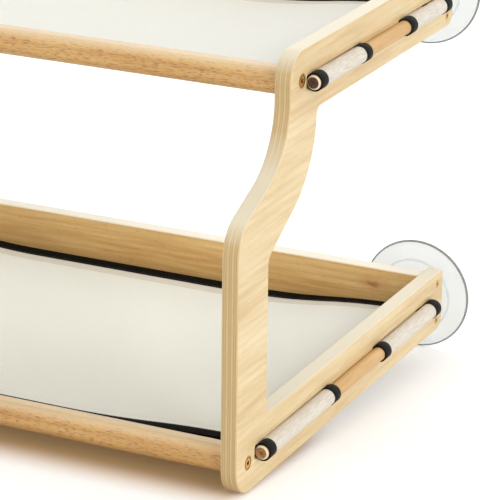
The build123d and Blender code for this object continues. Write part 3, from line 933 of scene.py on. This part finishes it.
def notch_binding_piece(sling, side_name):
    """Tape round the cut-out between two pockets, mitred at its corners, with its two bands."""
    side = SIDES[side_name]
    reach = sling.outer - FLARE_START
    outward = [side * x for x in steps(sling.notch_x + COLUMN_STEP, reach, COLUMN_STEP)]
    stations = [(x, sling.notch_front, (0, -1)) for x in reversed(outward)]
    stations.append((side * sling.notch_x, sling.notch_front, (-side, -1)))
    stations += [(side * sling.notch_x, y, (-side, 0))
                 for y in steps(sling.notch_front, sling.notch_back, ROW_STEP)[1:-1]]
    stations.append((side * sling.notch_x, sling.notch_back, (-side, 1)))
    stations += [(x, sling.notch_back, (0, 1)) for x in outward]
    shapes = [tape_run(sling, stations),
              band_ring(sling, side, sling.notch_front - TAPE_WIDTH, sling.notch_front, False),
              band_ring(sling, side, sling.notch_back, sling.notch_back + TAPE_WIDTH, True)]
    points, faces = join(shapes)
    piece = make_piece(f"notch_tape_{sling.tier}_{side_name}", points, faces, LOOKS["edge_tape"])
    show_bands(sling, piece)
    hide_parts(f"notch_binding_{sling.tier}_{side_name}")
    return piece


def stitch_shape(middle, along, normal):
    """One stitch: a short thread that rises from the cloth and dips into it at both ends."""
    side = along.cross(normal).normalized()
    sections = []
    for position, swell, rise in STITCH_SHARES:
        centre = middle + along * (STITCH_LENGTH * position)
        half = STITCH_WIDTH / 2 * swell
        top = STITCH_RISE * rise
        outline = ((-half, -STITCH_RISE), (-half * 0.7, top * 0.6), (0, top),
                   (half * 0.7, top * 0.6), (half, -STITCH_RISE))
        sections.append([centre + side * across + normal * height for across, height in outline])
    return sweep(sections)


def seam(places, normals):
    """Stitches along a line of places close together."""
    shapes = []
    travelled, due = 0.0, STITCH_PITCH / 2
    for (a, b), normal in zip(zip(places, places[1:]), normals):
        run = (b - a).length
        while travelled + run >= due:
            middle = a + (b - a) * ((due - travelled) / run)
            shapes.append(stitch_shape(middle, (b - a).normalized(), normal))
            due += STITCH_PITCH
        travelled += run
    return shapes


def seam_across(sling, y, lift):
    """A seam along X on the panel."""
    xs = steps(-sling.notch_x + SEAM_INSET, sling.notch_x - SEAM_INSET, COLUMN_STEP)
    normals = [panel_normal(sling, x, y) for x in xs]
    places = [Vector((x, y, sling.height(x, y))) + normal * lift for x, normal in zip(xs, normals)]
    return seam(places, normals)


def seam_along(sling, x, limits, lift):
    """A seam along Y on the panel."""
    ys = steps(limits[0], limits[1], ROW_STEP)
    normals = [panel_normal(sling, x, y) for y in ys]
    places = [Vector((x, y, sling.height(x, y))) + normal * lift for y, normal in zip(ys, normals)]
    return seam(places, normals)


def seam_pieces(sling):
    """Pale seams on the cloth and dark ones on the tape."""
    surface = CLOTH / 2
    pale, dark = [], []
    for y in (sling.front + HEM_WIDTH - SEAM_MARGIN, sling.back - HEM_WIDTH + SEAM_MARGIN):
        pale += seam_across(sling, y, surface)
    for side in SIDES.values():
        for start, end in sling.pockets:
            for margin in (SEAM_MARGIN, 3 * SEAM_MARGIN):
                x = side * (sling.inner - RETURN_LENGTH + margin)
                gap = TAPE_WIDTH + SEAM_END_GAP
                limits = (start + gap, end - gap)
                pale += seam_along(sling, x, limits, surface)
    taped = surface + TAPE_SEAT + TAPE
    inset = TAPE_WIDTH - SEAM_MARGIN
    for y in (sling.front + inset, sling.back - inset):
        dark += seam_across(sling, y, taped)
    for side in SIDES.values():
        limits = (sling.notch_front - inset, sling.notch_back + inset)
        dark += seam_along(sling, side * (sling.notch_x - inset), limits, taped)
    for name, shapes, look in (
            ("seams", pale, "pale_thread"), ("tape_seams", dark, "dark_thread")):
        points, faces = join(shapes)
        make_piece(f"{name}_{sling.tier}", points, faces, LOOKS[look])


def make_slings():
    """Each tier's cloth, its bindings and its seams."""
    for tier in TIERS:
        sling = Sling(tier)
        cloth, flat, area = sling_piece(sling)
        trims = [edge_binding_piece(sling, "front"), edge_binding_piece(sling, "rear")]
        trims += [notch_binding_piece(sling, side) for side in SIDES]
        seam_pieces(sling)


def curve_through(points, per_span=6):
    """A smooth line through the given points, each with the slope that its neighbours give."""
    ends = [points[0]] + list(points) + [points[-1]]
    line = []
    for index in range(len(points) - 1):
        a, b, c, d = ends[index:index + 4]
        for step in range(per_span):
            t = step / per_span
            line.append(tuple(
                0.5 * (2 * b[k] + (c[k] - a[k]) * t
                       + (2 * a[k] - 5 * b[k] + 4 * c[k] - d[k]) * t ** 2
                       + (3 * b[k] - a[k] - 3 * c[k] + d[k]) * t ** 3) for k in range(2)))
    return line + [points[-1]]


def cup_profile(radius, depth):
    """Half a cup's outline from the hollow to the neck, as (radius, distance from the window)."""
    bell = curve_through([
        (radius - 0.3 * MM, 1.9 * MM), (radius - 1.4 * MM, 2.1 * MM), (radius - 2.2 * MM, 1.7 * MM),
        (radius - 6 * MM, 2.5 * MM), (radius - 11 * MM, 4.4 * MM), (radius - 16 * MM, 6.4 * MM)])
    shoulder = curve_through([
        (radius - 16.3 * MM, 7.6 * MM), (radius - 17.5 * MM, 8.3 * MM),
        (radius - 24 * MM, 8.9 * MM), (17 * MM, 10.6 * MM), (12 * MM, 12.4 * MM),
        (9.6 * MM, 15.5 * MM), (CUP_NECK, 18.5 * MM)])
    neck = [(CUP_NECK, depth - CUP_BEVEL), (CUP_NECK - CUP_BEVEL, depth), (0.0, depth)]
    rim = [(radius - 0.5 * MM, 0.0), (radius, 0.4 * MM), (radius, 1.1 * MM)]
    hollow = curve_through([
        (0.0, 5.4 * MM), (14 * MM, 5.3 * MM), (28 * MM, 4.6 * MM), (radius - 10 * MM, 2.2 * MM),
        (radius - 4 * MM, 0.0)])
    return hollow + rim + bell + shoulder + neck


def suction_cup_piece(tier, side):
    """A clear cup as a turned shape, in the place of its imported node."""
    node = f"suction_cup_{tier}_{side}"
    low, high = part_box(node)
    middle_x, middle_z = (low.x + high.x) / 2, (low.z + high.z) / 2
    edge = (high.x - low.x) / 2
    profile = cup_profile(edge, high.y - low.y)
    points, faces = [], []
    count = len(profile)
    for index in range(CUP_TURNS):
        angle = math.tau * index / CUP_TURNS
        for radius, distance in profile:
            points.append(Vector((middle_x + radius * math.cos(angle), high.y - distance,
                                  middle_z + radius * math.sin(angle))))
    for index in range(CUP_TURNS):
        following = (index + 1) % CUP_TURNS
        for column in range(count - 1):
            faces.append((index * count + column, following * count + column,
                          following * count + column + 1, index * count + column + 1))
    piece = make_piece(f"clear_cup_{tier}_{side}", points, faces, LOOKS["clear_vinyl"])
    painted_rim_look = add_look(piece, "vinyl_painted_rim")
    painted_step_look = add_look(piece, "vinyl_painted_step")
    # Painted shade: the rim band and the step's line take the grey vinyl.
    for face in piece.data.polygons:
        inset = edge - math.hypot(face.center.x - middle_x, face.center.z - middle_z)
        height = high.y - face.center.y
        if inset < CUP_RIM:
            face.material_index = painted_rim_look
        elif CUP_STEP[0] < inset < CUP_STEP[1] and height > CUP_STEP_HEIGHT:
            face.material_index = painted_step_look
    weld = piece.modifiers.new("weld", "WELD")
    weld.merge_threshold = CUP_WELD
    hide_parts(node)


def for_shown_rays(tree, strength):
    """A strength that holds for camera, glossy and transmission rays and is zero for the rest."""
    path = tree.add("ShaderNodeLightPath").outputs
    total = path["Is Camera Ray"]
    for ray in ("Is Glossy Ray", "Is Transmission Ray"):
        total = tree.math("MAXIMUM", total, path[ray])
    return tree.times(total, strength)


def painted_floor_shadow(look, side_x, front_y):
    """1 in the painted shadow under the front rail, 0 on the rest of the floor."""
    axes = look.axes()
    limits = (
        (X, side_x + SHADOW_SIDE[0], side_x + SHADOW_SIDE[1]),
        (X, -side_x - SHADOW_SIDE[0], -side_x - SHADOW_SIDE[1]),
        (Y, front_y + SHADOW_FRONT[0], front_y + SHADOW_FRONT[1]),
        (Y, front_y + SHADOW_BACK[0], front_y + SHADOW_BACK[1]),
    )
    share = 1.0
    for axis, outside, inside in limits:
        share = look.times(share, look.level(axes[axis], outside, inside, "SMOOTHSTEP"))
    return share


def make_floor():
    """A white floor through the plates' front feet and the lower cups' lowest points, with a
    painted shadow under the front rail.
    """
    plate_low, plate_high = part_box("side_plate_right")
    cup_low, cup_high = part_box("suction_cup_lower_right")
    foot = plate_low.y + FOOT_RADIUS
    slope = (cup_low.z - plate_low.z) / (cup_high.y - foot)
    half = FLOOR_HALF
    points = [(x, y, plate_low.z + slope * (y - foot) - FLOOR_DROP) for x, y in
              ((-half, -half), (half, -half), (half, half), (-half, half))]
    mesh = bpy.data.meshes.new("floor")
    mesh.from_pydata(points, [], [(0, 1, 2, 3)])
    floor = bpy.data.objects.new("floor", mesh)
    bpy.context.scene.collection.objects.link(floor)
    look = Look("floor")
    painted_shadow = painted_floor_shadow(look, plate_high.x, plate_low.y)
    look.set(Base_Color=look.mix(painted_shadow, FLOOR_WHITE, FLOOR_PAINTED_SHADOW), Roughness=1.0,
             Specular_IOR_Level=0.0, Emission_Color=look.mix(painted_shadow, GLOW_WHITE, GLOW_PAINTED_SHADOW),
             Emission_Strength=for_shown_rays(look, FLOOR_GLOW))
    mesh.materials.append(look.material)


def make_world():
    """White for the camera and a plain soft level for the object."""
    world = bpy.data.worlds.new("studio")
    bpy.context.scene.world = world
    world.use_nodes = True
    tree = Nodes(world.node_tree)
    background = tree.nodes["Background"]
    background.inputs["Color"].default_value = (1, 1, 1, 1)
    shown = for_shown_rays(tree, 1.0 - WORLD_LEVEL)
    tree.feed(background.inputs["Strength"], tree.math("ADD", shown, WORLD_LEVEL))


def make_sun(name, heading, strength, spread):
    """A soft distant lamp whose light travels along the heading."""
    lamp = bpy.data.lights.new(name, "SUN")
    lamp.energy = strength
    lamp.angle = math.radians(spread)
    holder = bpy.data.objects.new(name, lamp)
    bpy.context.scene.collection.objects.link(holder)
    holder.rotation_mode = "QUATERNION"
    holder.rotation_quaternion = Vector(heading).to_track_quat("-Z", "Y")


def make_camera():
    """The photograph's view, set by the pixel and depth of the right plate's low front corner."""
    low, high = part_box("side_plate_right")
    corner = Vector((high.x, low.y, low.z))
    azimuth, elevation, roll = (math.radians(angle) for angle in (AZIMUTH, ELEVATION, ROLL))
    look = Vector((-math.sin(azimuth) * math.cos(elevation),
                   math.cos(azimuth) * math.cos(elevation), -math.sin(elevation)))
    level = Vector((math.cos(azimuth), math.sin(azimuth), 0))
    upright = level.cross(look)
    right = math.cos(roll) * level + math.sin(roll) * upright
    up = -math.sin(roll) * level + math.cos(roll) * upright
    focal = LENS * PICTURE / SENSOR
    across = (CORNER_PIXEL[0] - PICTURE / 2) / focal * DEPTH
    above = -(CORNER_PIXEL[1] - PICTURE / 2) / focal * DEPTH
    camera = bpy.data.cameras.new("camera")
    camera.lens = LENS
    camera.sensor_width = SENSOR
    camera.clip_start = NEAR_LIMIT
    holder = bpy.data.objects.new("camera", camera)
    bpy.context.scene.collection.objects.link(holder)
    turn = Matrix((right, up, -look)).transposed().to_4x4()
    place = corner - right * across - up * above - look * DEPTH
    holder.matrix_world = Matrix.Translation(place) @ turn
    bpy.context.scene.camera = holder


dress_nodes()
make_slings()
for tier_name in TIERS:
    for side_key in SIDES:
        suction_cup_piece(tier_name, side_key)
make_floor()
make_world()
for lamp_name, lamp_values in LAMPS.items():
    make_sun(lamp_name, *lamp_values)
make_camera()
bpy.context.scene.view_settings.view_transform = "Standard"
